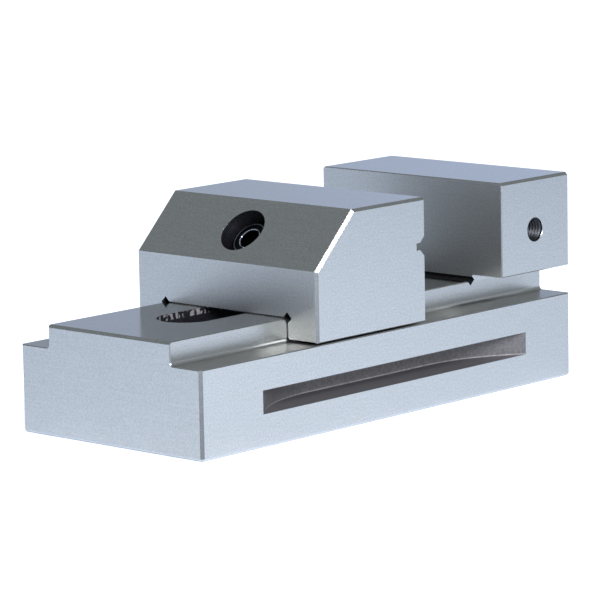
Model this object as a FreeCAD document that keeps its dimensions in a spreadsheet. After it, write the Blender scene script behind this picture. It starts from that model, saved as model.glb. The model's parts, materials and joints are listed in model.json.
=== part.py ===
import FreeCAD, Part
import math
import os

import Sketcher
from FreeCAD import Placement, Rotation, Vector

# Precision vise: a ground one-piece body with its fixed jaw, a movable jaw
# that straddles the rail, and an inclined clamp screw that pulls a cross pin
# up into a row of half-round notches under the rail.
#
# Frame, in millimetres: origin at the centre of the base's footprint, +Z up,
# +X along the rail towards the fixed jaw, -Y the side with the stop hole.
# The pose is the released one: the pin hangs below its notches.

doc = FreeCAD.newDocument("precision_vise")
sheet = doc.addObject("Spreadsheet::Sheet", "Sizes")

SIZES = {
    # Body: base, rail and fixed jaw
    "length": 228,
    "width": 100,
    "base_height": 36,
    "rail_width": 67.5,
    "rail_height": 9.5,
    "rail_foot_radius": 1.5,
    "jaw_height": 42.5,
    "fixed_jaw_length": 45.5,
    "clamp_gap": 12,
    "edge_chamfer": 1.2,
    "fine_chamfer": 0.4,
    "relief_side": 3.4,
    "relief_rise": 0.4,
    "relief_lead": 1.2,
    # Slot in the rail, cavity below it, notches in the underside of the rail
    "slot_width": 24.5,
    "slot_rear_margin": 32.3,
    "slot_front_margin": 1,
    "web_thickness": 15,
    "cavity_width": 46,
    "cavity_end_wall": 30,
    "cavity_corner_radius": 8,
    "notch_pitch": 16.5,
    "notch_depth": 4.2,
    "notch_play": 0.4,
    "notches_to_front": 3,
    "notches_to_rear": 4,
    # Clamp pockets milled into both sides of the base with a disc cutter
    "pocket_rear_margin": 34.7,
    "pocket_length": 163,
    "pocket_floor_height": 13.5,
    "pocket_height": 9.5,
    "pocket_depth": 17,
    "pocket_cutter_radius": 65,
    # Threaded hole for a work stop in the side of the fixed jaw (M10)
    "stop_hole_radius": 5,
    "stop_hole_mouth_radius": 5.2,
    "stop_hole_depth": 22,
    "stop_hole_rise": 20.5,
    "stop_hole_end_margin": 23.5,
    # Movable jaw
    "movable_jaw_length": 66,
    "jaw_opening": 49.5,
    "slope_rise": 22.5,
    "skirt_gap": 0.8,
    "slide_gap": 0.02,
    "guide_gap": 0.05,
    "vee_rise": 22.5,
    "vee_half_mouth": 4.5,
    "vee_half_floor": 1.5,
    "vee_relief_depth": 2.2,
    # Screw hole in the movable jaw, along the inclined screw
    "counterbore_radius": 10.25,
    "head_recess": 5.5,
    "washer_stack": 6.5,
    "screw_hole_radius": 6,
    "screw_hole_swing": 1.5,
    "spring_bore_radius": 7.8,
    "spring_bore_start": 36,
    # Clamp screw (M10 socket head cap screw) and the ring at its tip
    "shank_radius": 5,
    "head_radius": 8,
    "head_height": 10,
    "head_chamfer": 0.8,
    "socket_width": 8,
    "socket_depth": 5.5,
    "tip_reach": 3.95,
    "tip_chamfer": 1,
    "ring_thickness": 1,
    "ring_outer_radius": 6.6,
    "ring_groove_depth": 0.4,
    "ring_gap": 0.3,
    # Washers below the head: spherical one in a dished seat
    "washer_radius": 10,
    "ball_bore_radius": 5.25,
    "ball_radius": 15,
    "ball_rim_thickness": 1.3,
    "seat_bore_radius": 6,
    "seat_contact_radius": 7.5,
    "washer_gap": 0.1,
    "head_gap": 0.02,
    # Cross pin with its tapped hole
    "pin_radius": 8,
    "pin_end_gap": 1,
    "pin_chamfer": 1,
    "pin_flat_depth": 1.5,
    "thread_gap": 0.05,
    "contact_gap": 0.15,
    "lift_travel": 6.75,
    # Spring between the movable jaw and the pin
    "spring_radius": 6.6,
    "spring_wire_radius": 0.75,
    "spring_turns": 7,
    "spring_closed_gap": 0.15,
    "spring_end_gap": 0.05,
}

for row, (name, number) in enumerate(SIZES.items(), 1):
    sheet.set("A%d" % row, name)
    sheet.set("B%d" % row, str(number))
    sheet.setAlias("B%d" % row, name)

doc.recompute()

HALF_LENGTH = "Sizes.length / 2"
HALF_WIDTH = "Sizes.width / 2"
HALF_RAIL = "Sizes.rail_width / 2"
RAIL_TOP = "(Sizes.base_height + Sizes.rail_height)"
JAW_TOP = "(%s + Sizes.jaw_height)" % RAIL_TOP
FIXED_JAW_BOTTOM = "(Sizes.base_height + Sizes.clamp_gap)"
FIXED_FACE = "(Sizes.length / 2 - Sizes.fixed_jaw_length)"
MOVABLE_FACE = "(%s - Sizes.jaw_opening)" % FIXED_FACE
MOVABLE_REAR = "(%s - Sizes.movable_jaw_length)" % MOVABLE_FACE
JAW_FLOOR = "(%s + Sizes.slide_gap)" % RAIL_TOP
SKIRT_BOTTOM = "(Sizes.base_height + Sizes.skirt_gap)"

# The screw's line starts at the middle of the jaw's 45 degree slope, square to
# it. A depth along the line from there moves a point by depth / sqrt(2) in +X
# and in -Z.
SCREW_TILT = 45
LINE_X = "(%s + Sizes.slope_rise / 2)" % MOVABLE_REAR
LINE_Z = "(%s - Sizes.slope_rise / 2)" % JAW_TOP
HEAD_SEAT_DEPTH = "(Sizes.head_recess + Sizes.head_height)"
COUNTERBORE_DEPTH = "(%s + Sizes.washer_stack)" % HEAD_SEAT_DEPTH

# Notches: a pin drawn up against the upper rear wall of a notch stands off its
# centre by the notch's play less the contact gap.
WEB_BOTTOM = "(%s - Sizes.web_thickness)" % RAIL_TOP
NOTCH_RADIUS = "(Sizes.pin_radius + Sizes.notch_play)"
NOTCH_Z = "(%s + Sizes.notch_depth - %s)" % (WEB_BOTTOM, NOTCH_RADIUS)
PIN_OFFSET = "((Sizes.notch_play - Sizes.contact_gap) / sqrt(2))"
RAISED_PIN_Z = "(%s + %s)" % (NOTCH_Z, PIN_OFFSET)
RAISED_PIN_X = "(%s + %s - %s)" % (LINE_X, LINE_Z, RAISED_PIN_Z)
NOTCH_X = "(%s + %s)" % (RAISED_PIN_X, PIN_OFFSET)
FIRST_NOTCH_X = "(%s - Sizes.notches_to_rear * Sizes.notch_pitch)" % NOTCH_X
RAISED_PIN_DEPTH = "((%s - %s) * sqrt(2))" % (LINE_Z, RAISED_PIN_Z)
PIN_DEPTH = "(%s + Sizes.lift_travel)" % RAISED_PIN_DEPTH
PIN_FLAT_DEPTH = "(%s - Sizes.pin_radius + Sizes.pin_flat_depth)" % PIN_DEPTH

# The spring's wire is faceted: sides around its section, steps in each turn
WIRE_SIDES = 8
STEPS_PER_TURN = 12

# Arc of the open ring at the screw's tip, in degrees
RING_ARC = 300

# Slack when an edge is compared with a place, and the least that a cut takes
PLACE_SLACK = 0.001
LEAST_CUT = 0.01


def value(expression):
    return float(sheet.evalExpression(expression))


def new_body(label):
    body = doc.addObject("PartDesign::Body", label)
    body.Label = label
    return body


def new_sketch(body, name, role, height="0"):
    """A sketch on one of the body's own origin planes, raised along its normal."""
    sketch = body.newObject("Sketcher::SketchObject", name)
    plane = [item for item in body.Origin.OriginFeatures if item.Role == role][0]
    sketch.AttachmentSupport = [(plane, "")]
    sketch.MapMode = "FlatFace"
    sketch.setExpression("AttachmentOffset.Base.z", height)
    return sketch


def place_point(sketch, geometry, point, across, up):
    """Dimensions a point from the sketch's origin."""
    for kind, expression in (("DistanceX", across), ("DistanceY", up)):
        constraint = Sketcher.Constraint(kind, -1, 1, geometry, point, value(expression))
        number = sketch.addConstraint(constraint)
        sketch.setExpression("Constraints[%d]" % number, expression)


def draw_polygon(sketch, corners):
    """Straight edges through the corners, each one a pair of expressions."""
    points = [Vector(value(across), value(up), 0) for across, up in corners]
    first = sketch.GeometryCount
    for start, end in zip(points, points[1:] + points[:1]):
        sketch.addGeometry(Part.LineSegment(start, end))
    for number, (across, up) in enumerate(corners):
        following = first + (number + 1) % len(corners)
        sketch.addConstraint(Sketcher.Constraint("Coincident", first + number, 2, following, 1))
        place_point(sketch, first + number, 1, across, up)


def draw_rectangle(sketch, left, right, bottom, top):
    draw_polygon(sketch, [(left, bottom), (right, bottom), (right, top), (left, top)])


def draw_circle(sketch, across, up, radius):
    centre = Vector(value(across), value(up), 0)
    circle = sketch.addGeometry(Part.Circle(centre, Vector(0, 0, 1), value(radius)))
    place_point(sketch, circle, 3, across, up)
    number = sketch.addConstraint(Sketcher.Constraint("Radius", circle, value(radius)))
    sketch.setExpression("Constraints[%d]" % number, radius)


def draw_obround(sketch, left, right, up, radius):
    """A slot with round ends; left and right are the centres of the ends."""
    left_x, right_x, middle_y, end_radius = value(left), value(right), value(up), value(radius)
    upward = Vector(0, 0, 1)
    quarter = math.pi / 2
    left_circle = Part.Circle(Vector(left_x, middle_y, 0), upward, end_radius)
    right_circle = Part.Circle(Vector(right_x, middle_y, 0), upward, end_radius)
    left_arc = sketch.addGeometry(Part.ArcOfCircle(left_circle, quarter, 3 * quarter))
    right_arc = sketch.addGeometry(Part.ArcOfCircle(right_circle, -quarter, quarter))
    low = middle_y - end_radius
    high = middle_y + end_radius
    bottom = sketch.addGeometry(Part.LineSegment(Vector(left_x, low, 0), Vector(right_x, low, 0)))
    top = sketch.addGeometry(Part.LineSegment(Vector(right_x, high, 0), Vector(left_x, high, 0)))
    for one, its_end, other, other_end in ((left_arc, 2, bottom, 1), (bottom, 2, right_arc, 1),
                                           (right_arc, 2, top, 1), (top, 2, left_arc, 1)):
        sketch.addConstraint(Sketcher.Constraint("Tangent", one, its_end, other, other_end))
    sketch.addConstraint(Sketcher.Constraint("Equal", left_arc, right_arc))
    place_point(sketch, left_arc, 3, left, up)
    place_point(sketch, right_arc, 3, right, up)
    number = sketch.addConstraint(Sketcher.Constraint("Radius", left_arc, end_radius))
    sketch.setExpression("Constraints[%d]" % number, radius)


def extrude(body, kind, sketch, length, symmetric=False, backwards=False):
    """Adds a Pad or a Pocket; raises if a Pocket removes nothing."""
    before = body.Shape.Volume if body.Tip else 0
    feature = body.newObject("PartDesign::" + kind, kind + "_" + sketch.Name)
    feature.Profile = sketch
    feature.setExpression("Length", length)
    feature.SideType = "Symmetric" if symmetric else "One side"
    feature.Reversed = backwards
    sketch.Visibility = False
    doc.recompute()
    if kind == "Pocket" and not feature.Shape.Volume < before - LEAST_CUT:
        raise RuntimeError("%s cuts nothing" % feature.Name)
    return feature


def revolve(body, kind, sketch, axis, angle=360):
    """Adds a Revolution or a Groove about one of the sketch's axes."""
    before = body.Shape.Volume if body.Tip else 0
    feature = body.newObject("PartDesign::" + kind, kind + "_" + sketch.Name)
    feature.Profile = sketch
    feature.ReferenceAxis = (sketch, [axis])
    feature.Angle = angle
    sketch.Visibility = False
    doc.recompute()
    if kind == "Groove" and not feature.Shape.Volume < before - LEAST_CUT:
        raise RuntimeError("%s cuts nothing" % feature.Name)
    return feature


def dress(body, kind, base, wanted, amount, name):
    """A Fillet or a Chamfer on the edges of base that the test picks."""
    names = ["Edge%d" % number for number, edge in enumerate(base.Shape.Edges, 1) if wanted(edge)]
    if not names:
        raise RuntimeError("%s finds no edge" % name)
    feature = body.newObject("PartDesign::" + kind, name)
    feature.Base = (base, names)
    feature.setExpression("Radius" if kind == "Fillet" else "Size", amount)
    doc.recompute()
    return feature


def at(edge, x=None, y=None, z=None):
    """True where the whole edge lies at the given places; y is taken both ways."""
    box = edge.BoundBox
    for wanted, low, high in ((x, box.XMin, box.XMax), (z, box.ZMin, box.ZMax)):
        if wanted is not None and max(abs(low - wanted), abs(high - wanted)) > PLACE_SLACK:
            return False
    if y is None:
        return True
    return min(max(abs(box.YMin - side), abs(box.YMax - side)) for side in (y, -y)) <= PLACE_SLACK


def place_on_line(body, depth):
    """Stands a piece on the screw's line, its own +Z towards the screw's head."""
    body.Placement = Placement(Vector(0, 0, 0), Rotation(Vector(0, 1, 0), -SCREW_TILT))
    body.setExpression("Placement.Base.x", "%s + %s / sqrt(2)" % (LINE_X, depth))
    body.setExpression("Placement.Base.z", "%s - %s / sqrt(2)" % (LINE_Z, depth))


def relief_corners(across, up):
    """The corners of a square relief groove that stands on its point."""
    reach = "Sizes.relief_side / sqrt(2)"
    return [
        ("%s - %s" % (across, reach), up),
        (across, "%s - %s" % (up, reach)),
        ("%s + %s" % (across, reach), up),
        (across, "%s + %s" % (up, reach)),
    ]


def make_vise_body():
    body = new_body("vise_body")

    # Side view of the blank: the rail with the fixed jaw standing at its end
    outline = new_sketch(body, "side_outline", "XZ_Plane")
    draw_polygon(outline, [
        ("-" + HALF_LENGTH, "0"),
        (HALF_LENGTH, "0"),
        (HALF_LENGTH, JAW_TOP),
        (FIXED_FACE, JAW_TOP),
        (FIXED_FACE, RAIL_TOP),
        ("-" + HALF_LENGTH, RAIL_TOP),
    ])
    extrude(body, "Pad", outline, "Sizes.width", symmetric=True)

    # Ledges along both sides of the rail, running on under the fixed jaw
    ledge = new_sketch(body, "ledge", "YZ_Plane")
    draw_rectangle(ledge, HALF_RAIL, "Sizes.width", "Sizes.base_height", FIXED_JAW_BOTTOM)
    other_ledge = new_sketch(body, "other_ledge", "YZ_Plane")
    draw_rectangle(other_ledge, "-Sizes.width", "-" + HALF_RAIL, "Sizes.base_height", FIXED_JAW_BOTTOM)
    extrude(body, "Pocket", ledge, "2 * Sizes.length", symmetric=True)
    ledges = extrude(body, "Pocket", other_ledge, "2 * Sizes.length", symmetric=True)
    half_rail = value(HALF_RAIL)
    ledge_z = value("Sizes.base_height")
    dress(body, "Fillet", ledges, lambda edge: at(edge, y=half_rail, z=ledge_z),
          "Sizes.rail_foot_radius", "rail_foot")

    # Cavity open to the underside, with milled corners
    cavity = new_sketch(body, "cavity", "XY_Plane")
    cavity_end = "(Sizes.length / 2 - Sizes.cavity_end_wall)"
    half_cavity = "Sizes.cavity_width / 2"
    draw_rectangle(cavity, "-" + cavity_end, cavity_end, "-" + half_cavity, half_cavity)
    hollow = extrude(body, "Pocket", cavity, WEB_BOTTOM, backwards=True)
    corner_x = value(cavity_end)
    corner_y = value(half_cavity)
    dress(body, "Fillet", hollow,
          lambda edge: at(edge, x=corner_x, y=corner_y) or at(edge, x=-corner_x, y=corner_y),
          "Sizes.cavity_corner_radius", "cavity_corners")

    # Slot through the rail, from behind the movable jaw to the fixed jaw's foot
    slot = new_sketch(body, "rail_slot", "XY_Plane", RAIL_TOP)
    half_slot = "Sizes.slot_width / 2"
    draw_obround(slot, "-%s + Sizes.slot_rear_margin + %s" % (HALF_LENGTH, half_slot),
                 "%s - Sizes.slot_front_margin - %s" % (FIXED_FACE, half_slot), "0", half_slot)
    extrude(body, "Pocket", slot, "Sizes.web_thickness + 1")

    # Half-round notches across the underside of the rail
    notch = new_sketch(body, "notch", "XZ_Plane")
    draw_circle(notch, FIRST_NOTCH_X, NOTCH_Z, NOTCH_RADIUS)
    first = extrude(body, "Pocket", notch, "Sizes.cavity_width", symmetric=True)
    row = body.newObject("PartDesign::LinearPattern", "notch_row")
    row.Originals = [first]
    row.Direction = (notch, ["H_Axis"])
    row.Mode = "Spacing"
    row.setExpression("Offset", "Sizes.notch_pitch")
    row.setExpression("Occurrences", "Sizes.notches_to_rear + Sizes.notches_to_front + 1")
    body.Tip = row
    doc.recompute()
    if not row.Shape.Volume < first.Shape.Volume - LEAST_CUT:
        raise RuntimeError("the notches are not repeated")

    # Clamp pockets: the track of a disc cutter that travels along X
    pocket = new_sketch(body, "clamp_pocket", "XY_Plane", "Sizes.pocket_floor_height")
    cutter = "Sizes.pocket_cutter_radius"
    cutter_y = "-(%s - Sizes.pocket_depth + %s)" % (HALF_WIDTH, cutter)
    half_chord = "sqrt(%s ^ 2 - (%s - Sizes.pocket_depth) ^ 2)" % (cutter, cutter)
    pocket_rear = "-%s + Sizes.pocket_rear_margin" % HALF_LENGTH
    draw_obround(pocket, "%s + %s" % (pocket_rear, half_chord),
                 "%s + Sizes.pocket_length - %s" % (pocket_rear, half_chord), cutter_y, cutter)
    cut = extrude(body, "Pocket", pocket, "Sizes.pocket_height", backwards=True)
    mirror = body.newObject("PartDesign::Mirrored", "clamp_pockets")
    mirror.Originals = [cut]
    plane = [item for item in body.Origin.OriginFeatures if item.Role == "XZ_Plane"][0]
    mirror.MirrorPlane = (plane, [""])
    body.Tip = mirror
    doc.recompute()

    # Relief groove across the foot of the fixed jaw
    relief = new_sketch(body, "foot_relief", "XZ_Plane")
    relief_x = "(%s - Sizes.relief_lead)" % FIXED_FACE
    relief_z = "(%s + Sizes.relief_rise)" % RAIL_TOP
    draw_polygon(relief, relief_corners(relief_x, relief_z))
    grooved = extrude(body, "Pocket", relief, "Sizes.width", symmetric=True)

    # Tapped hole for the work stop, with its countersunk mouth
    hole = new_sketch(body, "stop_hole", "XY_Plane", "%s + Sizes.stop_hole_rise" % RAIL_TOP)
    hole_x = "(%s - Sizes.stop_hole_end_margin)" % HALF_LENGTH
    mouth_y = "-" + HALF_WIDTH
    mouth_depth = "(Sizes.stop_hole_mouth_radius - Sizes.stop_hole_radius)"
    draw_polygon(hole, [
        (hole_x, mouth_y),
        ("%s + Sizes.stop_hole_mouth_radius" % hole_x, mouth_y),
        ("%s + Sizes.stop_hole_radius" % hole_x, "%s + %s" % (mouth_y, mouth_depth)),
        ("%s + Sizes.stop_hole_radius" % hole_x, "%s + Sizes.stop_hole_depth" % mouth_y),
        (hole_x, "%s + Sizes.stop_hole_depth + Sizes.stop_hole_radius / 2" % mouth_y),
    ])
    drilled = body.newObject("PartDesign::Groove", "Groove_stop_hole")
    drilled.Profile = hole
    drilled.ReferenceAxis = (hole, ["Edge5"])
    drilled.Angle = 360
    doc.recompute()

    # Chamfers on the outer edges, and finer ones on the rail, the ledges and
    # the working face
    half_length = value(HALF_LENGTH)
    half_width = value(HALF_WIDTH)
    face_x = value(FIXED_FACE)
    rail_top = value(RAIL_TOP)
    jaw_bottom = value(FIXED_JAW_BOTTOM)
    jaw_top = value(JAW_TOP)

    def outer(edge):
        on_corner = at(edge, x=half_length, y=half_width) or at(edge, x=-half_length, y=half_width)
        on_top = at(edge, x=-half_length, z=rail_top) or at(edge, x=half_length, z=jaw_top)
        on_foot = at(edge, x=half_length, z=0) or at(edge, x=-half_length, z=0)
        along = at(edge, y=half_width, z=0) or at(edge, y=half_width, z=jaw_top)
        return on_corner or on_top or on_foot or along

    def fine(edge):
        on_ledge = any(at(edge, y=half_width, z=level) for level in (ledge_z, jaw_bottom))
        on_end = any(at(edge, x=end, z=level)
                     for end in (half_length, -half_length) for level in (ledge_z, jaw_bottom))
        on_rail = at(edge, y=half_rail, z=rail_top) or at(edge, x=-half_length, y=half_rail)
        on_face = at(edge, x=face_x, z=jaw_top) or at(edge, x=face_x, y=half_width)
        return on_ledge or on_end or on_rail or on_face

    trimmed = dress(body, "Chamfer", drilled, outer, "Sizes.edge_chamfer", "outer_edges")
    dress(body, "Chamfer", trimmed, fine, "Sizes.fine_chamfer", "fine_edges")
    return body


def make_movable_jaw():
    body = new_body("movable_jaw")

    # Side view: upright rear face, 45 degree slope, flat top, front face with
    # its horizontal vee and the square relief behind the vee
    vee_z = "(%s + Sizes.vee_rise)" % RAIL_TOP
    vee_depth = "(Sizes.vee_half_mouth - Sizes.vee_half_floor)"
    floor_x = "%s - %s" % (MOVABLE_FACE, vee_depth)
    relief_x = "%s - Sizes.vee_relief_depth" % floor_x
    outline = new_sketch(body, "jaw_outline", "XZ_Plane")
    draw_polygon(outline, [
        (MOVABLE_REAR, SKIRT_BOTTOM),
        (MOVABLE_FACE, SKIRT_BOTTOM),
        (MOVABLE_FACE, "%s - Sizes.vee_half_mouth" % vee_z),
        (floor_x, "%s - Sizes.vee_half_floor" % vee_z),
        (relief_x, "%s - Sizes.vee_half_floor" % vee_z),
        (relief_x, "%s + Sizes.vee_half_floor" % vee_z),
        (floor_x, "%s + Sizes.vee_half_floor" % vee_z),
        (MOVABLE_FACE, "%s + Sizes.vee_half_mouth" % vee_z),
        (MOVABLE_FACE, JAW_TOP),
        ("%s + Sizes.slope_rise" % MOVABLE_REAR, JAW_TOP),
        (MOVABLE_REAR, "%s - Sizes.slope_rise" % JAW_TOP),
    ])
    blank = extrude(body, "Pad", outline, "Sizes.width", symmetric=True)

    # Chamfers on the outer edges, finer round the front face and the skirts'
    # feet, before the channel opens the underside
    rear_x = value(MOVABLE_REAR)
    face_x = value(MOVABLE_FACE)
    half_width = value(HALF_WIDTH)
    jaw_top = value(JAW_TOP)
    skirt_z = value(SKIRT_BOTTOM)
    vee_low = value("%s - Sizes.vee_half_mouth" % vee_z)
    vee_high = value("%s + Sizes.vee_half_mouth" % vee_z)

    def on_front_or_foot(edge):
        return at(edge, x=face_x) or at(edge, z=skirt_z)

    def outer(edge):
        box = edge.BoundBox
        inside_vee = box.ZMin > vee_low - PLACE_SLACK and box.ZMax < vee_high + PLACE_SLACK
        return at(edge, y=half_width) and not inside_vee and not on_front_or_foot(edge)

    def fine(edge):
        on_side = at(edge, y=half_width) and on_front_or_foot(edge)
        on_top = at(edge, x=face_x, z=jaw_top)
        on_foot = at(edge, x=face_x, z=skirt_z) or at(edge, x=rear_x, z=skirt_z)
        return on_side or on_top or on_foot

    trimmed = dress(body, "Chamfer", blank, outer, "Sizes.edge_chamfer", "outer_edges")
    dress(body, "Chamfer", trimmed, fine, "Sizes.fine_chamfer", "fine_edges")

    # Channel that straddles the rail, with square relief grooves in its corners
    channel = new_sketch(body, "channel", "YZ_Plane")
    half_channel = "(%s + Sizes.guide_gap)" % HALF_RAIL
    draw_rectangle(channel, "-" + half_channel, half_channel, "0", JAW_FLOOR)
    opened = extrude(body, "Pocket", channel, "2 * Sizes.length", symmetric=True)
    channel_y = value(half_channel)
    dress(body, "Chamfer", opened, lambda edge: at(edge, y=channel_y, z=skirt_z),
          "Sizes.rail_foot_radius", "skirt_lead_in")
    for name, across in (("corner_relief", half_channel), ("other_corner_relief", "-" + half_channel)):
        relief = new_sketch(body, name, "YZ_Plane")
        draw_polygon(relief, relief_corners(across, JAW_FLOOR))
        relieved = extrude(body, "Pocket", relief, "2 * Sizes.length", symmetric=True)
    floor_z = value(JAW_FLOOR)

    def mouth(edge):
        return any(at(edge, x=end, z=floor_z) or at(edge, x=end, y=channel_y) for end in (rear_x, face_x))

    dress(body, "Chamfer", relieved, mouth, "Sizes.fine_chamfer", "channel_mouths")

    # Stepped hole along the screw's line: counterbore, then a bore for the
    # spring from below; the sketch's own X runs down the line
    steps = new_sketch(body, "screw_steps", "XZ_Plane")
    steps.AttachmentOffset = Placement(Vector(0, 0, 0), Rotation(Vector(0, 0, 1), -SCREW_TILT))
    steps.setExpression("AttachmentOffset.Base.x", LINE_X)
    steps.setExpression("AttachmentOffset.Base.y", LINE_Z)
    steps.setExpression("AttachmentOffset.Base.z", "0")
    draw_rectangle(steps, "-Sizes.counterbore_radius", COUNTERBORE_DEPTH, "0", "Sizes.counterbore_radius")
    revolve(body, "Groove", steps, "H_Axis")
    spring_bore = new_sketch(body, "spring_bore", "XZ_Plane")
    spring_bore.AttachmentOffset = Placement(Vector(0, 0, 0), Rotation(Vector(0, 0, 1), -SCREW_TILT))
    spring_bore.setExpression("AttachmentOffset.Base.x", LINE_X)
    spring_bore.setExpression("AttachmentOffset.Base.y", LINE_Z)
    below = "(%s - %s) * sqrt(2) + Sizes.spring_bore_radius" % (LINE_Z, RAIL_TOP)
    draw_rectangle(spring_bore, "Sizes.spring_bore_start", below, "0", "Sizes.spring_bore_radius")
    revolve(body, "Groove", spring_bore, "H_Axis")

    # Long hole between the two, so that the screw can lean while the pin sits
    # in its notch and the jaw closes on the work
    long_hole = new_sketch(body, "screw_hole", "XY_Plane")
    long_hole.AttachmentOffset = Placement(Vector(0, 0, 0), Rotation(Vector(0, 1, 0), -SCREW_TILT))
    long_hole.setExpression("AttachmentOffset.Base.x", "%s + %s / sqrt(2)" % (LINE_X, COUNTERBORE_DEPTH))
    long_hole.setExpression("AttachmentOffset.Base.z", "%s - %s / sqrt(2)" % (LINE_Z, COUNTERBORE_DEPTH))
    swing = "Sizes.screw_hole_swing"
    draw_obround(long_hole, "-" + swing, swing, "0", "Sizes.screw_hole_radius")
    extrude(body, "Pocket", long_hole, "Sizes.spring_bore_start - %s" % COUNTERBORE_DEPTH)
    return body


def make_clamp_screw():
    """Socket head cap screw; its own origin is the bearing face below the head."""
    body = new_body("clamp_screw")
    length = "(%s + Sizes.pin_radius + Sizes.tip_reach - %s)" % (PIN_DEPTH, HEAD_SEAT_DEPTH)
    groove_top = "(%s - %s + Sizes.pin_radius + Sizes.ring_gap)" % (PIN_DEPTH, HEAD_SEAT_DEPTH)
    groove_bottom = "(%s + Sizes.ring_thickness)" % groove_top
    groove_radius = "(Sizes.shank_radius - Sizes.ring_groove_depth)"
    profile = new_sketch(body, "screw_profile", "XZ_Plane")
    draw_polygon(profile, [
        ("0", "Sizes.head_height"),
        ("0", "-" + length),
        ("Sizes.shank_radius - Sizes.tip_chamfer", "-" + length),
        ("Sizes.shank_radius", "-%s + Sizes.tip_chamfer" % length),
        ("Sizes.shank_radius", "-" + groove_bottom),
        (groove_radius, "-" + groove_bottom),
        (groove_radius, "-" + groove_top),
        ("Sizes.shank_radius", "-" + groove_top),
        ("Sizes.shank_radius", "0"),
        ("Sizes.head_radius", "0"),
        ("Sizes.head_radius", "Sizes.head_height - Sizes.head_chamfer"),
        ("Sizes.head_radius - Sizes.head_chamfer", "Sizes.head_height"),
    ])
    revolve(body, "Revolution", profile, "V_Axis")
    socket = new_sketch(body, "hex_socket", "XY_Plane", "Sizes.head_height")
    corner = "Sizes.socket_width / sqrt(3)"
    draw_polygon(socket, [("%s * cos(%d deg)" % (corner, angle), "%s * sin(%d deg)" % (corner, angle))
                          for angle in range(0, 360, 60)])
    extrude(body, "Pocket", socket, "Sizes.socket_depth")
    place_on_line(body, "(%s - Sizes.head_gap)" % HEAD_SEAT_DEPTH)
    return body


def make_tip_ring():
    """Open retaining ring in the groove at the screw's tip."""
    body = new_body("tip_ring")
    profile = new_sketch(body, "ring_profile", "XZ_Plane")
    inner = "Sizes.shank_radius - Sizes.ring_groove_depth + Sizes.thread_gap"
    edge = "Sizes.thread_gap"
    draw_rectangle(profile, inner, "Sizes.ring_outer_radius", "-Sizes.ring_thickness + " + edge, "-" + edge)
    revolve(body, "Revolution", profile, "V_Axis", RING_ARC)
    place_on_line(body, "(%s + Sizes.pin_radius + Sizes.ring_gap - Sizes.head_gap)" % PIN_DEPTH)
    return body


def make_ball_washer():
    """Flat on top, part of a sphere below; its own origin is the flat's centre."""
    body = new_body("ball_washer")
    drop = "(sqrt(Sizes.ball_radius ^ 2 - %s ^ 2))"
    centre_z = "(%s - Sizes.ball_rim_thickness)" % (drop % "Sizes.washer_radius")
    profile = new_sketch(body, "ball_profile", "XZ_Plane")
    inner_z = "(%s - %s)" % (centre_z, drop % "Sizes.ball_bore_radius")
    rim_z = "-Sizes.ball_rim_thickness"
    inner = Vector(value("Sizes.ball_bore_radius"), value(inner_z), 0)
    rim = Vector(value("Sizes.washer_radius"), value(rim_z), 0)
    top_rim = Vector(rim.x, 0, 0)
    top_inner = Vector(inner.x, 0, 0)
    circle = Part.Circle(Vector(0, value(centre_z), 0), Vector(0, 0, 1), value("Sizes.ball_radius"))
    arc = profile.addGeometry(Part.ArcOfCircle(circle, circle.parameter(inner), circle.parameter(rim)))
    side = profile.addGeometry(Part.LineSegment(rim, top_rim))
    top = profile.addGeometry(Part.LineSegment(top_rim, top_inner))
    bore = profile.addGeometry(Part.LineSegment(top_inner, inner))
    for one, other in ((arc, side), (side, top), (top, bore), (bore, arc)):
        profile.addConstraint(Sketcher.Constraint("Coincident", one, 2, other, 1))
    place_point(profile, arc, 1, "Sizes.ball_bore_radius", inner_z)
    place_point(profile, arc, 2, "Sizes.washer_radius", rim_z)
    place_point(profile, top, 1, "Sizes.washer_radius", "0")
    place_point(profile, top, 2, "Sizes.ball_bore_radius", "0")
    number = profile.addConstraint(Sketcher.Constraint("Radius", arc, value("Sizes.ball_radius")))
    profile.setExpression("Constraints[%d]" % number, "Sizes.ball_radius")
    revolve(body, "Revolution", profile, "V_Axis")
    place_on_line(body, HEAD_SEAT_DEPTH)
    return body


def make_seat_washer():
    """Dished washer: a 120 degree funnel that the ball washer bears on."""
    body = new_body("seat_washer")
    ball_drop = "sqrt(Sizes.ball_radius ^ 2 - Sizes.washer_radius ^ 2)"
    contact_drop = "sqrt(Sizes.ball_radius ^ 2 - Sizes.seat_contact_radius ^ 2)"
    contact_z = "(%s - Sizes.ball_rim_thickness - %s - Sizes.washer_gap)" % (ball_drop, contact_drop)
    rise = "(%s + (%s - Sizes.seat_contact_radius) / sqrt(3))"
    profile = new_sketch(body, "seat_profile", "XZ_Plane")
    bottom_z = "-Sizes.washer_stack"
    draw_polygon(profile, [
        ("Sizes.seat_bore_radius", bottom_z),
        ("Sizes.washer_radius", bottom_z),
        ("Sizes.washer_radius", rise % (contact_z, "Sizes.washer_radius")),
        ("Sizes.seat_bore_radius", rise % (contact_z, "Sizes.seat_bore_radius")),
    ])
    revolve(body, "Revolution", profile, "V_Axis")
    place_on_line(body, HEAD_SEAT_DEPTH)
    return body


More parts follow.
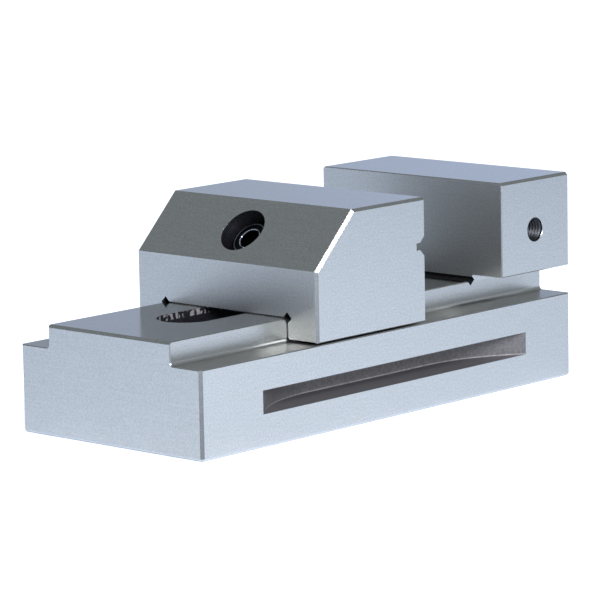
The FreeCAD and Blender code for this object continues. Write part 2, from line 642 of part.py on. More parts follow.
def make_pin_nut():
    """Cross pin along Y with the tapped hole along its own Z."""
    body = new_body("pin_nut")
    section = new_sketch(body, "pin_section", "XZ_Plane")
    draw_circle(section, "0", "0", "Sizes.pin_radius")
    length = "(Sizes.cavity_width - 2 * Sizes.pin_end_gap)"
    bar = extrude(body, "Pad", section, length, symmetric=True)
    half_length = value(length + " / 2")
    dress(body, "Chamfer", bar, lambda edge: at(edge, y=half_length), "Sizes.pin_chamfer", "pin_ends")
    tapped = new_sketch(body, "tapped_hole", "XY_Plane", "Sizes.pin_radius")
    draw_circle(tapped, "0", "0", "Sizes.shank_radius + Sizes.thread_gap")
    extrude(body, "Pocket", tapped, "2 * Sizes.pin_radius")
    flat = new_sketch(body, "spring_flat", "XY_Plane", "Sizes.pin_radius")
    reach = "(Sizes.spring_radius + 2 * Sizes.spring_wire_radius)"
    draw_rectangle(flat, "-Sizes.pin_radius", "Sizes.pin_radius", "-" + reach, reach)
    extrude(body, "Pocket", flat, "Sizes.pin_flat_depth")
    place_on_line(body, PIN_DEPTH)
    return body


def make_return_spring():
    """Compression spring with closed, ground end turns; its origin is the pin's flat."""
    span = value("%s - Sizes.spring_bore_start - 2 * Sizes.spring_end_gap" % PIN_FLAT_DEPTH)
    radius = value("Sizes.spring_radius")
    wire = value("Sizes.spring_wire_radius")
    turns = int(value("Sizes.spring_turns"))
    closed_pitch = 2 * wire + value("Sizes.spring_closed_gap")
    open_pitch = (span - 2 * closed_pitch) / (turns - 2)

    def section(turn):
        """The wire's eight-sided section at a number of turns from the start."""
        closed_turns = min(turn, 1) + max(turn - (turns - 1), 0)
        height = closed_turns * closed_pitch + (turn - closed_turns) * open_pitch
        outward = Vector(math.cos(2 * math.pi * turn), math.sin(2 * math.pi * turn), 0)
        centre = outward * radius + Vector(0, 0, height)
        corners = []
        for number in range(WIRE_SIDES):
            angle = 2 * math.pi * (number + 0.5) / WIRE_SIDES
            corners.append(centre + outward * (wire * math.cos(angle)) + Vector(0, 0, wire * math.sin(angle)))
        return Part.makePolygon(corners + corners[:1])

    sections = [section(step / STEPS_PER_TURN) for step in range(turns * STEPS_PER_TURN + 1)]
    coil = Part.makeLoft(sections, True, True)
    between_ends = Part.makeCylinder(radius + 2 * wire, span)
    spring = doc.addObject("Part::Feature", "return_spring")
    spring.Label = "return_spring"
    spring.Shape = coil.common(between_ends).Solids[0]
    place_on_line(spring, "(%s - Sizes.spring_end_gap)" % PIN_FLAT_DEPTH)
    return spring


PIECES = [
    make_vise_body(),
    make_movable_jaw(),
    make_clamp_screw(),
    make_tip_ring(),
    make_ball_washer(),
    make_seat_washer(),
    make_pin_nut(),
    make_return_spring(),
]

doc.recompute()

for item in doc.Objects:
    if "Invalid" in item.State or "Error" in item.State:
        raise RuntimeError("%s failed: %s" % (item.Label, item.State))

for piece in PIECES:
    shape = piece.Shape
    if shape.isNull() or not shape.isValid() or len(shape.Solids) != 1:
        raise RuntimeError("%s is not one valid solid" % piece.Label)

os.makedirs("parts", exist_ok=True)
for piece in PIECES:
    piece.Shape.exportStep("parts/%s.step" % piece.Label)
    box = piece.Shape.BoundBox
    print("%-14s volume %9.1f  x %7.2f %7.2f  y %7.2f %7.2f  z %6.2f %6.2f" % (
        piece.Label, piece.Shape.Volume, box.XMin, box.XMax, box.YMin, box.YMax, box.ZMin, box.ZMax))
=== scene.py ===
import json
import math

import bmesh
import bpy
from mathutils import Matrix, Vector


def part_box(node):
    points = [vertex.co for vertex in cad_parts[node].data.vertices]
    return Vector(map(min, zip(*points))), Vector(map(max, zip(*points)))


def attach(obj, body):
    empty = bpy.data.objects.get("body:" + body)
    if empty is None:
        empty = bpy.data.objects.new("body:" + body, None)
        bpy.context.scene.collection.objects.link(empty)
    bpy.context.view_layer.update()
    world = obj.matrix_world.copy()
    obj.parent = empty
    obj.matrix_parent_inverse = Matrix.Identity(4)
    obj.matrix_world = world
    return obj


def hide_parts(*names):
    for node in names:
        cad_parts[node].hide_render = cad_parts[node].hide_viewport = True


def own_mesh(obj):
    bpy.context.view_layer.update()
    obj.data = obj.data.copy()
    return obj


# Precision vise, in metres: +X along the rail towards the fixed jaw, +Z up,
# -Y the side with the stop hole.
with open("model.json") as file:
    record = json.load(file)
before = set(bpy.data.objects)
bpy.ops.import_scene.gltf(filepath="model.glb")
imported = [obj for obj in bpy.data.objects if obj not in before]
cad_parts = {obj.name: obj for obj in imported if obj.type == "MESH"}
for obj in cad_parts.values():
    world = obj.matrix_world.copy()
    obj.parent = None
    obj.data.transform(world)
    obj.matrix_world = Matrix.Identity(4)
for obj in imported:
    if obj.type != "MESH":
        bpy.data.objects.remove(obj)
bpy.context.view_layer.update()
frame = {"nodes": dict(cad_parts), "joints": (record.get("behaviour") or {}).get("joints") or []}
NODES = frame["nodes"]
JOINTS = {joint["name"]: joint for joint in frame["joints"]}
MM = 0.001

# The inclined screw's line, from the middle of the jaw's slope downwards
LINE_START = Vector(JOINTS["screw_turn"]["pos_m"])
LINE_DOWN = Vector(JOINTS["screw_turn"]["axis"]).normalized()

# Places on the body, read from its box and the sizes it was built with
BASE_HIGH = Vector(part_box("vise_body")[1])
RAIL_TOP = 45.5 * MM
RAIL_HALF_WIDTH = 33.75 * MM
BASE_TOP = 36 * MM
POCKET_FLOOR = 13.5 * MM
BRIGHT_LINE_HEIGHT = 0.45 * MM
WEB_BOTTOM = 30.5 * MM
SLOT_HALF_WIDTH = 12.25 * MM
STOP_HOLE = Vector((90.5, -50, 66)) * MM
STOP_HOLE_DEPTH = 20 * MM
END_MARGIN = 5 * MM
FOOT_HEIGHT = 1.5 * MM
FIXED_FACE = 68.5 * MM
FOOT_RELIEF = Vector((67.3, 0, 45.9)) * MM
RELIEF_REACH = 2.4 * MM
COUNTERBORE_RADIUS = 10.25 * MM
NEAR_SURFACE = 0.1 * MM
CHATTER_HEIGHT = 2.6 * MM

# M10 threads
PITCH = 1.5 * MM
THREAD_RADIUS = 5 * MM
THREAD_DEPTH = 0.81 * MM
FLANK_SLOPE = 2.6
ROOT_FLAT = 0.15
STEPS_IN_PITCH = 10
UNTHREADED_SHARE = 0.45
OFF_SOLID = 0.02 * MM

# Clamp screw's head
HEAD_RADIUS = 8 * MM
HEAD_HEIGHT = 10 * MM
RIM = 0.9 * MM
RIM_STEPS = 6
KNURL_DEPTH = 0.22 * MM
KNURLS = 48
SOCKET_WIDTH = 8 * MM
SOCKET_DEPTH = 5.5 * MM
SOCKET_LEAD = 0.3 * MM
UNKNURLED = 1.2 * MM

# Return spring, between its bore in the jaw and the flat on the pin
SPRING_RADIUS = 6.6 * MM
WIRE_RADIUS = 0.75 * MM
SPRING_TURNS = 7
SPRING_START = 36.05 * MM
PIN_CENTRE_TO_FLAT = 6.5 * MM
SPRING_END_GAP = 0.05 * MM
SPRING_CLOSED_GAP = 0.1 * MM

# The photograph's camera, fitted to the straight edges of the object
EYE = Vector((-1.11425, -1.01882, 0.29342))
AZIMUTH = math.radians(-47.502)
ELEVATION = math.radians(9.408)
ROLL = math.radians(-1.109)
LENS = 221.98

# The lamps face a point above the middle of the floor
AIM = Vector((0, 0, 40)) * MM

# Noise scales per metre, and how far the drawn-out ones are stretched
GRINDING_SCALE = 2600
GRINDING_STRETCH = 0.035
CHATTER_SCALE = 700
CHATTER_STRETCH = 0.3
CHATTER_LEVEL = 0.52
PATCH_SCALE = 35
MARK_SCALE = 900
MOTTLE_SCALE = 1300

# Roughness of the ground faces
TOP_ROUGHNESS = 0.11
SIDE_ROUGHNESS = 0.20
END_ROUGHNESS = 0.38
LEDGE_ROUGHNESS = 0.27

# Shares of a colour's brightness, which paint shade on the corner chamfers and in the recesses
CORNER_PAINTED_SHADE = 0.4
POCKET_FLOOR_SHADE = 0.55
POCKET_END_SHADE = 0.15

# Colours, linear
GROUND_STEEL = (0.465, 0.46, 0.43, 1)
MILLED_STEEL = (0.23, 0.21, 0.20, 1)
# Near-black: painted shade in the slot, the stop hole, the relief and the counterbore
BLACK_PAINTED_SHADE = (0.006, 0.005, 0.006, 1)
# Dark steel for the stop hole's thread: painted shade in the hole
THREAD_PAINTED_SHADE = (0.05, 0.05, 0.05, 1)
BLACK_OXIDE = (0.009, 0.009, 0.010, 1)
# Bright edges of the screw head: partly rubbed steel, partly painted highlight
EDGE_WEAR_AND_HIGHLIGHT = (0.62, 0.64, 0.70, 1)
SPRING_STEEL = (0.42, 0.43, 0.45, 1)
FLOOR_COLOUR = (0.9, 0.9, 0.9, 1)
FLOOR_SHINE = (0.66, 0.91, 1.42, 1)
FLOOR_GLOW_SEEN = 0.7
FLOOR_GLOW_REFLECTED = 0.36
FLOOR_GLOW_BEHIND = 0.45
WHITE = (1, 1, 1, 1)
LAMP_COLOUR = (0.96, 1.03, 1.20)
HORIZON_BRIGHT = (0.57, 0.68, 0.93, 1)
HORIZON_DIM = (0.46, 0.53, 0.69, 1)
FRONT_TINT = (1.0, 0.96, 0.80, 1)
CEILING_COLOUR = (0.322, 0.360, 0.400, 1)


class Nodes:
    """A node tree with short calls for adding and linking."""

    def __init__(self, tree):
        self.tree = tree
        tree.nodes.clear()

    def add(self, kind, settings=None, inputs=None):
        node = self.tree.nodes.new(kind)
        for name, value in (settings or {}).items():
            setattr(node, name, value)
        for key, value in (inputs or {}).items():
            if isinstance(value, bpy.types.NodeSocket):
                self.tree.links.new(value, node.inputs[key])
            else:
                node.inputs[key].default_value = value
        return node

    def math(self, operation, first, second=0.0):
        return self.add("ShaderNodeMath", {"operation": operation}, {0: first, 1: second}).outputs[0]

    def times(self, first, second):
        return self.math("MULTIPLY", first, second)

    def minus(self, first, second):
        return self.math("SUBTRACT", first, second)

    def absolute(self, value):
        return self.math("ABSOLUTE", value)

    def all_of(self, *tests):
        """1 where every test, a socket of 0 or 1, holds."""
        result = tests[0]
        for test in tests[1:]:
            result = self.times(result, test)
        return result

    def any_of(self, *tests):
        """1 where at least one test holds."""
        result = tests[0]
        for test in tests[1:]:
            result = self.math("MAXIMUM", result, test)
        return result

    def below(self, first, second):
        return self.math("LESS_THAN", first, second)

    def above(self, first, second):
        return self.math("GREATER_THAN", first, second)

    def place(self):
        """The three coordinates of a point, in metres in the vise's frame."""
        return self.split(self.add("ShaderNodeTexCoord").outputs["Object"])

    def split(self, vector):
        parts = self.add("ShaderNodeSeparateXYZ", None, {0: vector})
        return parts.outputs[0], parts.outputs[1], parts.outputs[2]

    def distance(self, first, second):
        squares = self.math("ADD", self.times(first, first), self.times(second, second))
        return self.math("SQRT", squares)

    def noise(self, scale, detail=2.0, stretch=(1, 1, 1)):
        """Noise in metres, drawn out along the axes that stretch makes small."""
        place = self.add("ShaderNodeTexCoord").outputs["Object"]
        mapped = self.add("ShaderNodeMapping", None, {"Vector": place, "Scale": stretch}).outputs[0]
        inputs = {"Vector": mapped, "Scale": scale, "Detail": detail}
        return self.add("ShaderNodeTexNoise", None, inputs).outputs[0]

    def mix(self, share, first, second):
        return self.add("ShaderNodeMix", None, {0: share, 2: first, 3: second}).outputs[0]

    def blend(self, share, first, second):
        """Mixes two colours."""
        return self.add("ShaderNodeMix", {"data_type": "RGBA"}, {0: share, 6: first, 7: second}).outputs[2]

    def spread(self, noise, low, high):
        """Maps the middle of a noise's range to low and high."""
        return self.add("ShaderNodeMapRange", None, {0: noise, 1: 0.3, 2: 0.7, 3: low, 4: high}).outputs[0]

    def ramp(self, value, start, end, low=0.0, high=1.0):
        """Passes softly from low to high while value goes from start to end."""
        return self.add("ShaderNodeMapRange", {"interpolation_type": "SMOOTHSTEP"},
                        {0: value, 1: start, 2: end, 3: low, 4: high}).outputs[0]

    def tint(self, colour, shade, share=1.0):
        return self.add("ShaderNodeMix", {"data_type": "RGBA", "blend_type": "MULTIPLY"},
                        {0: share, 6: colour, 7: shade}).outputs[2]

    def bump(self, height, strength, distance=0.1 * MM):
        return self.add("ShaderNodeBump", None,
                        {"Strength": strength, "Distance": distance, "Height": height}).outputs[0]

    def principled(self, colour, metallic, roughness, normal):
        inputs = {"Base Color": colour, "Metallic": metallic, "Roughness": roughness, "Normal": normal}
        surface = self.add("ShaderNodeBsdfPrincipled", None, inputs)
        self.add("ShaderNodeOutputMaterial", None, {0: surface.outputs[0]})


def new_material(name):
    material = bpy.data.materials.new(name)
    material.use_nodes = True
    return material, Nodes(material.node_tree)


def body_recesses(nodes):
    """Four masks on the body: unground, black, coarsely ground, bright line.

    Black is painted shade on the slot's walls, the stop hole and the relief at the
    fixed jaw's foot; coarse are the ledges and the rail's sides; the bright line
    runs along the foot of the pockets' walls.
    """
    x, y, z = nodes.place()
    across = nodes.absolute(y)
    below_rail_top = nodes.below(z, RAIL_TOP - NEAR_SURFACE)

    in_base = nodes.all_of(nodes.below(across, BASE_HIGH.y - NEAR_SURFACE),
                           nodes.below(z, WEB_BOTTOM + NEAR_SURFACE))
    in_slot = nodes.all_of(nodes.below(across, SLOT_HALF_WIDTH + NEAR_SURFACE), below_rail_top)
    inside = nodes.all_of(nodes.below(nodes.absolute(x), BASE_HIGH.x - END_MARGIN),
                          nodes.above(z, FOOT_HEIGHT), nodes.any_of(in_base, in_slot))

    from_hole = nodes.distance(nodes.minus(x, STOP_HOLE.x), nodes.minus(z, STOP_HOLE.z))
    in_hole = nodes.all_of(nodes.below(from_hole, THREAD_RADIUS + NEAR_SURFACE),
                           nodes.above(y, STOP_HOLE.y + NEAR_SURFACE), nodes.below(y, 0.0))
    from_relief = nodes.distance(nodes.minus(x, FOOT_RELIEF.x), nodes.minus(z, FOOT_RELIEF.z))
    past_faces = nodes.any_of(below_rail_top, nodes.above(x, FIXED_FACE + NEAR_SURFACE))
    in_relief = nodes.all_of(nodes.below(from_relief, RELIEF_REACH), past_faces,
                             nodes.below(across, RAIL_HALF_WIDTH - NEAR_SURFACE))
    unlit = nodes.any_of(in_hole, in_relief)

    # The slot's walls show milled steel only in patches within a band at their top; elsewhere they are
    # painted black shade
    chatter = nodes.noise(CHATTER_SCALE, stretch=(1, 1, CHATTER_STRETCH))
    slot_wall_painted_shade = nodes.any_of(nodes.below(z, RAIL_TOP - CHATTER_HEIGHT),
                                nodes.below(chatter, CHATTER_LEVEL))
    beside_rail = nodes.all_of(nodes.above(across, RAIL_HALF_WIDTH - NEAR_SURFACE),
                               nodes.below(across, BASE_HIGH.y - NEAR_SURFACE),
                               nodes.above(z, BASE_TOP - NEAR_SURFACE), below_rail_top)
    # A brighter line along the foot of the pockets' walls
    bright_foot_line = nodes.all_of(nodes.above(z, POCKET_FLOOR), nodes.below(z, POCKET_FLOOR + BRIGHT_LINE_HEIGHT))
    milled = nodes.any_of(inside, unlit)
    # Black is painted shade on the slot's walls, in the stop hole and in the relief
    black = nodes.any_of(nodes.all_of(in_slot, slot_wall_painted_shade), unlit)
    return milled, black, beside_rail, bright_foot_line


def jaw_recesses(nodes):
    """The same masks on the movable jaw: only its stepped screw hole is unground, and it is black, as
    painted shade.
    """
    x, y, z = nodes.place()
    offset_x = nodes.minus(x, LINE_START.x)
    offset_z = nodes.minus(z, LINE_START.z)
    depth = nodes.math("ADD", nodes.times(offset_x, LINE_DOWN.x), nodes.times(offset_z, LINE_DOWN.z))
    aside = nodes.minus(nodes.times(offset_x, LINE_DOWN.z), nodes.times(offset_z, LINE_DOWN.x))
    bored = nodes.all_of(nodes.below(nodes.distance(aside, y), COUNTERBORE_RADIUS + NEAR_SURFACE),
                         nodes.above(depth, NEAR_SURFACE))
    nowhere = nodes.below(depth, -1.0)
    return bored, bored, nowhere, nowhere


def make_ground_steel(name, recesses):
    """Fine ground steel: grinding lines along X, or along Y on the ends; darker
    milled steel in the recesses, with painted shade in them and on the corner chamfers."""
    material, nodes = new_material(name)
    normal = nodes.add("ShaderNodeNewGeometry").outputs["True Normal"]
    normal_x, normal_y, normal_z = nodes.split(normal)
    facing_x = nodes.absolute(normal_x)
    on_top = nodes.above(normal_z, 0.9)
    on_end = nodes.above(facing_x, 0.9)
    sloping_to_end = nodes.above(facing_x, 0.5)
    on_corner = nodes.all_of(nodes.below(nodes.absolute(normal_z), 0.1), nodes.above(facing_x, 0.3),
                             nodes.above(nodes.absolute(normal_y), 0.3))
    lines = nodes.mix(sloping_to_end, nodes.noise(GRINDING_SCALE, stretch=(GRINDING_STRETCH, 1, 1)),
                      nodes.noise(GRINDING_SCALE, stretch=(1, GRINDING_STRETCH, 1)))
    patches = nodes.noise(PATCH_SCALE, detail=3.0)
    marks = nodes.noise(MARK_SCALE, detail=4.0)
    mottle = nodes.noise(MOTTLE_SCALE)
    milled, black, coarse, bright_foot_line = recesses(nodes)

    fineness = nodes.mix(on_top, nodes.mix(on_end, SIDE_ROUGHNESS, END_ROUGHNESS), TOP_ROUGHNESS)
    fineness = nodes.mix(coarse, fineness, LEDGE_ROUGHNESS)
    unevenness = nodes.times(nodes.math("ADD", patches, lines), 0.03)
    roughness = nodes.mix(milled, nodes.math("ADD", fineness, unevenness), nodes.spread(marks, 0.42, 0.6))
    bump = nodes.bump(nodes.mix(milled, lines, nodes.times(marks, 4.0)), 0.12, 0.05 * MM)

    grain = nodes.times(nodes.spread(lines, 0.94, 1.02), nodes.spread(mottle, 0.87, 1.09))
    # The vertical corner chamfers are darkened: painted shade
    ground_colour = nodes.tint(GROUND_STEEL, nodes.times(grain, nodes.mix(on_corner, 1.0, CORNER_PAINTED_SHADE)))
    # Painted shade in the recesses: walls facing along X darkest, floors facing up darker; the marks add a
    # random tone
    wall_shade = nodes.times(nodes.mix(facing_x, 1.0, POCKET_END_SHADE),
                             nodes.mix(bright_foot_line, 1.0, nodes.spread(patches, 1.6, 2.6)))
    shade = nodes.mix(on_top, wall_shade, POCKET_FLOOR_SHADE)
    marks_and_painted_shade = nodes.times(nodes.spread(marks, 0.75, 1.25), shade)
    milled_colour = nodes.tint(nodes.blend(black, MILLED_STEEL, BLACK_PAINTED_SHADE), marks_and_painted_shade)
    colour = nodes.blend(milled, ground_colour, milled_colour)
    nodes.principled(colour, nodes.mix(milled, 1.0, 0.35), roughness, bump)
    return material


def make_plain_metal(name, colour, roughness, grain_scale, bump_strength):
    material, nodes = new_material(name)
    grain = nodes.noise(grain_scale, detail=3.0)
    rough = nodes.spread(grain, roughness - 0.06, roughness + 0.06)
    shaded = nodes.tint(colour, nodes.spread(grain, 0.8, 1.0))
    nodes.principled(shaded, 1.0, rough, nodes.bump(grain, bump_strength))
    return material


def make_oxide_wear_and_highlight():
    """Black oxide with bright edges, partly rubbed through to steel and partly a painted highlight."""
    material, nodes = new_material("black_oxide_wear_and_highlight")
    grain = nodes.noise(MARK_SCALE, detail=3.0)
    edge = nodes.add("ShaderNodeAttribute", {"attribute_name": "edge_wear_and_highlight"}).outputs["Fac"]
    wear_and_highlight_level = nodes.math("ADD", edge, nodes.times(grain, 0.5))
    rubbed_and_highlit = nodes.add("ShaderNodeMapRange", None, {0: wear_and_highlight_level, 1: 0.75, 2: 0.95, 3: 0.0, 4: 1.0}).outputs[0]
    colour = nodes.blend(rubbed_and_highlit, nodes.tint(BLACK_OXIDE, nodes.spread(grain, 0.7, 1.2)), EDGE_WEAR_AND_HIGHLIGHT)
    rough = nodes.mix(rubbed_and_highlit, nodes.spread(grain, 0.3, 0.42), 0.28)
    nodes.principled(colour, 1.0, rough, nodes.bump(grain, 0.2))
    return material


def dress(node, material):
    mesh = NODES[node].data
    mesh.materials.clear()
    mesh.materials.append(material)


def make_floor():
    material, nodes = new_material("floor_pale")
    rays = nodes.add("ShaderNodeLightPath")
    for_camera = nodes.times(rays.outputs["Is Camera Ray"], FLOOR_GLOW_SEEN)
    y = nodes.place()[1]
    reflected = nodes.ramp(y, -0.1, 0.1, FLOOR_GLOW_REFLECTED, FLOOR_GLOW_BEHIND)
    for_metal = nodes.times(rays.outputs["Is Glossy Ray"], reflected)
    strength = nodes.math("MAXIMUM", for_camera, for_metal)
    colour = nodes.blend(rays.outputs["Is Camera Ray"], FLOOR_SHINE, WHITE)
    glow = nodes.add("ShaderNodeEmission", None, {"Color": colour, "Strength": strength})
    plain = nodes.add("ShaderNodeBsdfDiffuse", None, {"Color": FLOOR_COLOUR})
    both = nodes.add("ShaderNodeAddShader", None, {0: plain.outputs[0], 1: glow.outputs[0]})
    nodes.add("ShaderNodeOutputMaterial", None, {0: both.outputs[0]})
    mesh = bpy.data.meshes.new("floor")
    shape = bmesh.new()
    bmesh.ops.create_grid(shape, x_segments=1, y_segments=1, size=20)
    shape.to_mesh(mesh)
    shape.free()
    mesh.materials.append(material)
    floor = bpy.data.objects.new("floor", mesh)
    floor.location.z = -0.2 * MM
    bpy.context.scene.collection.objects.link(floor)


def make_world():
    world = bpy.data.worlds.new("studio")
    bpy.context.scene.world = world
    world.use_nodes = True
    nodes = Nodes(world.node_tree)
    to_right, to_back, up = nodes.split(nodes.add("ShaderNodeTexCoord").outputs["Generated"])
    horizon = nodes.blend(nodes.ramp(to_right, 0.68, 0.82), HORIZON_DIM, HORIZON_BRIGHT)
    horizon = nodes.tint(horizon, FRONT_TINT, nodes.ramp(to_back, 0.3, -0.3))
    studio = nodes.blend(nodes.ramp(up, 0.05, 0.6), horizon, CEILING_COLOUR)
    for_camera = nodes.add("ShaderNodeLightPath").outputs["Is Camera Ray"]
    colour = nodes.blend(for_camera, studio, WHITE)
    background = nodes.add("ShaderNodeBackground", None, {"Color": colour, "Strength": 1.0})
    nodes.add("ShaderNodeOutputWorld", None, {0: background.outputs[0]})


def make_light(name, direction, distance, width, height, power, colour=(1, 1, 1)):
    """A soft box that faces the object from a direction."""
    data = bpy.data.lights.new(name, "AREA")
    data.shape = "RECTANGLE"
    data.size = width
    data.size_y = height
    data.energy = power
    data.color = colour
    light = bpy.data.objects.new(name, data)
    towards = Vector(direction).normalized()
    light.location = towards * distance + AIM
    light.rotation_euler = towards.to_track_quat("Z", "Y").to_euler()
    bpy.context.scene.collection.objects.link(light)


def make_camera():
    data = bpy.data.cameras.new("camera")
    data.lens = LENS
    data.sensor_width = 36
    data.clip_start = 0.01
    camera = bpy.data.objects.new("camera", data)
    turn = Matrix.Rotation(AZIMUTH, 4, "Z") @ Matrix.Rotation(math.pi / 2 - ELEVATION, 4, "X")
    camera.matrix_world = Matrix.Translation(EYE) @ turn @ Matrix.Rotation(ROLL, 4, "Z")
    bpy.context.scene.collection.objects.link(camera)
    bpy.context.scene.camera = camera


def on_line(depth):
    """Stands local +Z on the screw's line, towards the head, from a depth along it."""
    up = -LINE_DOWN
    across = Vector((0, 1, 0))
    side = across.cross(up)
    turn = Matrix((side, across, up)).transposed().to_4x4()
    return Matrix.Translation(LINE_START + LINE_DOWN * depth) @ turn


def make_surface(name, rings, matrix, material, smooth_angle=35):
    """A closed skin through rings of points; a ring of one point closes an end."""
    shape = bmesh.new()
    loops = [[shape.verts.new(matrix @ Vector(point)) for point in ring] for ring in rings]
    for one, other in zip(loops, loops[1:]):
        count = max(len(one), len(other))
        for number in range(count):
            following = (number + 1) % count
            if len(one) == 1:
                shape.faces.new((one[0], other[number], other[following]))
            elif len(other) == 1:
                shape.faces.new((one[number], other[0], one[following]))
            else:
                shape.faces.new((one[number], other[number], other[following], one[following]))
    bmesh.ops.recalc_face_normals(shape, faces=shape.faces)
    for face in shape.faces:
        face.smooth = True
    limit = math.radians(smooth_angle)
    for edge in shape.edges:
        edge.smooth = edge.calc_face_angle(0) < limit
    mesh = bpy.data.meshes.new(name)
    shape.to_mesh(mesh)
    shape.free()
    mesh.materials.append(material)
    piece = bpy.data.objects.new(name, mesh)
    bpy.context.scene.collection.objects.link(piece)
    return piece


def circle(radius, height, sides):
    """A ring of points; radius may be a function of the angle."""
    points = []
    for number in range(sides):
        angle = 2 * math.pi * number / sides
        reach = radius(angle) if callable(radius) else radius
        points.append((reach * math.cos(angle), reach * math.sin(angle), height))
    return points


def ridge(turns):
    """A thread's profile over one turn: 0 at the root, 1 at the crest."""
    from_root = abs(turns % 1 - 0.5)
    return min(max(from_root * FLANK_SLOPE - ROOT_FLAT, 0), 1)


def thread_ring(radius, down, root, crest, sides):
    """One ring of a thread, as deep below the radius as root and crest say."""

    def reach(angle):
        height = ridge(down / PITCH + angle / (2 * math.pi))
        return radius - root - (crest - root) * height

    return circle(reach, -down, sides)


def hexagon(angle):
    return SOCKET_WIDTH / 2 / math.cos((angle + math.pi / 6) % (math.pi / 3) - math.pi / 6)


def knurled(angle):
    return HEAD_RADIUS - KNURL_DEPTH * (0.5 - 0.5 * math.cos(KNURLS * angle))


def make_head(matrix, material):
    """Knurled head with a hexagon socket; an attribute is 1 on its edges, which are coloured as wear and
    painted highlight.
    """
    sides = 4 * KNURLS
    top = HEAD_HEIGHT
    floor = top - SOCKET_DEPTH
    mouth = SOCKET_WIDTH / math.sqrt(3) + 0.1 * MM
    rings = [
        [(0, 0, floor)],
        circle(hexagon, floor, sides),
        circle(hexagon, top - SOCKET_LEAD, sides),
        circle(mouth, top, sides),
        circle(mouth + 0.25 * MM, top, sides),
        circle(HEAD_RADIUS - RIM - 0.2 * MM, top, sides),
    ]
    mouth_ring = 3
    # The socket's mouth and the rim take the bright edge colour: wear and painted highlight
    rubbed_and_highlit = {mouth_ring}
    for number in range(RIM_STEPS + 1):
        angle = math.pi / 2 * number / RIM_STEPS
        reach = HEAD_RADIUS - RIM * (1 - math.sin(angle))
        rubbed_and_highlit.add(len(rings))
        rings.append(circle(reach, top - RIM * (1 - math.cos(angle)), sides))
    rings += [
        circle(knurled, top - RIM - 0.4 * MM, sides),
        circle(knurled, UNKNURLED, sides),
        circle(HEAD_RADIUS - 0.1 * MM, UNKNURLED / 2, sides),
        circle(HEAD_RADIUS - 0.5 * MM, 0.0, sides),
        circle(THREAD_RADIUS + 0.1 * MM, 0.0, sides),
    ]
    head = make_surface("clamp_screw_head", rings, matrix, material)
    edge_wear_and_highlight = head.data.attributes.new("edge_wear_and_highlight", "FLOAT", "POINT")
    shares = [float(number in rubbed_and_highlit) for number, ring in enumerate(rings) for _ in ring]
    edge_wear_and_highlight.data.foreach_set("value", shares)
    return head


def make_shank(length, matrix, material):
    """Shank of the given length, threaded over its lower part."""
    sides = 36
    radius = THREAD_RADIUS - OFF_SOLID
    thread_start = UNTHREADED_SHARE * length
    step = PITCH / STEPS_IN_PITCH
    rows = int((length - thread_start - RIM) / step)
    rings = [circle(radius, -0.01 * MM, sides), circle(radius, -thread_start, sides)]
    for row in range(1, rows):
        fade = min(1.0, row / STEPS_IN_PITCH, (rows - row) / STEPS_IN_PITCH)
        rings.append(thread_ring(radius, thread_start + row * step, THREAD_DEPTH * fade, 0.0, sides))
    rings.append(circle(THREAD_RADIUS - RIM, -length, sides))
    rings.append([(0, 0, -length)])
    return make_surface("clamp_screw_shank", rings, matrix, material, smooth_angle=50)


def make_screw(material):
    """Socket head cap screw, as long as the solid that it replaces."""
    low, high = (Vector(corner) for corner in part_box("clamp_screw"))
    top_depth = (low.x - LINE_START.x) * math.sqrt(2) + HEAD_RADIUS - RIM
    tip_depth = (high.x - LINE_START.x) * math.sqrt(2) - THREAD_RADIUS + RIM
    below_head = on_line(top_depth + HEAD_HEIGHT)
    screw = make_head(below_head, material)
    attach(screw, "screw")
    shank = make_shank(tip_depth - top_depth - HEAD_HEIGHT, below_head, material)
    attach(shank, "screw")
    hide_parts("clamp_screw")


def make_stop_thread(material):
    """The thread in the stop hole, from the crests to the hole's wall."""
    sides = 48
    matrix = Matrix.Translation(STOP_HOLE) @ Matrix.Rotation(math.pi / 2, 4, "X")
    wall = THREAD_RADIUS - OFF_SOLID / 2
    start = 0.25 * MM
    step = PITCH / STEPS_IN_PITCH
    rings = [circle(wall, -start, sides)]
    for row in range(1, int((STOP_HOLE_DEPTH - start) / step)):
        rise = min(1.0, row / STEPS_IN_PITCH)
        rings.append(thread_ring(wall, start + row * step, 0.0, THREAD_DEPTH * rise, sides))
    rings.append(circle(wall, -STOP_HOLE_DEPTH, sides))
    thread = make_surface("stop_hole_thread", rings, matrix, material, smooth_angle=60)
    thread.data.flip_normals()
    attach(thread, "base")


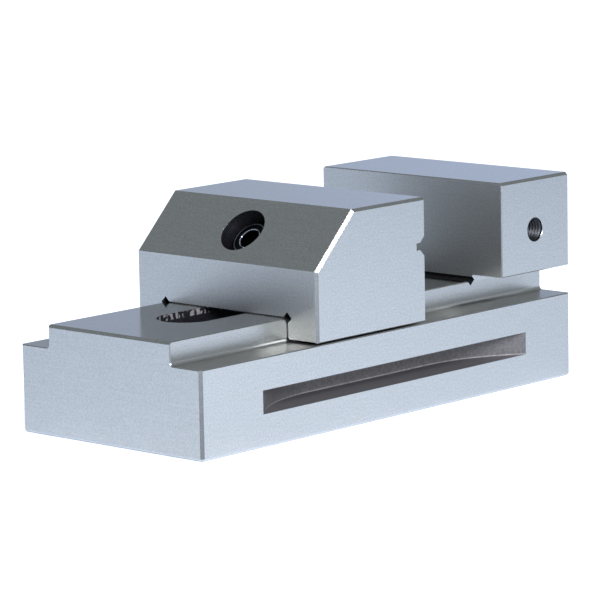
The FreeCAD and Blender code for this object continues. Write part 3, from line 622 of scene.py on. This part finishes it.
def make_spring(material):
    """Round-wire compression spring, built to reach the flat on the pin where it stands."""
    low, high = (Vector(corner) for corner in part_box("pin_nut"))
    pin_depth = ((low + high) / 2 - LINE_START).dot(LINE_DOWN)
    bottom = pin_depth - PIN_CENTRE_TO_FLAT - SPRING_END_GAP
    span = bottom - SPRING_START
    closed_pitch = 2 * WIRE_RADIUS + SPRING_CLOSED_GAP
    open_pitch = (span - 2 * WIRE_RADIUS - 2 * closed_pitch) / (SPRING_TURNS - 2)
    steps = 32
    sides = 12
    rings = []
    for number in range(SPRING_TURNS * steps + 1):
        turn = number / steps
        closed = min(turn, 1) + max(turn - (SPRING_TURNS - 1), 0)
        height = WIRE_RADIUS + closed * closed_pitch + (turn - closed) * open_pitch
        outward = Vector((math.cos(2 * math.pi * turn), math.sin(2 * math.pi * turn), 0))
        ring = []
        for corner in range(sides):
            angle = 2 * math.pi * corner / sides
            reach = SPRING_RADIUS + WIRE_RADIUS * math.cos(angle)
            ring.append(outward * reach + Vector((0, 0, height + WIRE_RADIUS * math.sin(angle))))
        rings.append(ring)
    rings.insert(0, [sum(rings[0], Vector()) / sides])
    rings.append([sum(rings[-1], Vector()) / sides])
    spring = make_surface("return_spring_wire", rings, on_line(bottom), material, smooth_angle=60)
    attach(spring, "jaw")
    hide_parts("return_spring")
    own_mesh(spring)


body_steel = make_ground_steel("ground_steel_body", body_recesses)
jaw_steel = make_ground_steel("ground_steel_jaw", jaw_recesses)
thread_steel_painted_shade = make_plain_metal("thread_steel_painted_shade", THREAD_PAINTED_SHADE, roughness=0.42, grain_scale=1200,
                                bump_strength=0.2)
black_oxide = make_plain_metal("black_oxide_satin", BLACK_OXIDE, roughness=0.35, grain_scale=900,
                                bump_strength=0.2)
oxide_wear_and_highlight = make_oxide_wear_and_highlight()
spring_steel = make_plain_metal("spring_steel_drawn", SPRING_STEEL, roughness=0.3, grain_scale=1500,
                                 bump_strength=0.1)

dress("vise_body", body_steel)
dress("movable_jaw", jaw_steel)
dress("tip_ring", spring_steel)
for node in ("ball_washer", "seat_washer", "pin_nut"):
    dress(node, black_oxide)

make_screw(oxide_wear_and_highlight)
make_stop_thread(thread_steel_painted_shade)
make_spring(spring_steel)
make_floor()
make_world()
make_light("key", (-0.45, -0.70, 0.42), distance=1.3, width=0.7, height=0.5, power=27, colour=LAMP_COLOUR)
make_light("edge light", (-0.189, -0.629, 0.753), distance=1.2, width=0.1, height=0.1, power=0.4)
make_camera()
bpy.context.scene.view_settings.view_transform = "Standard"
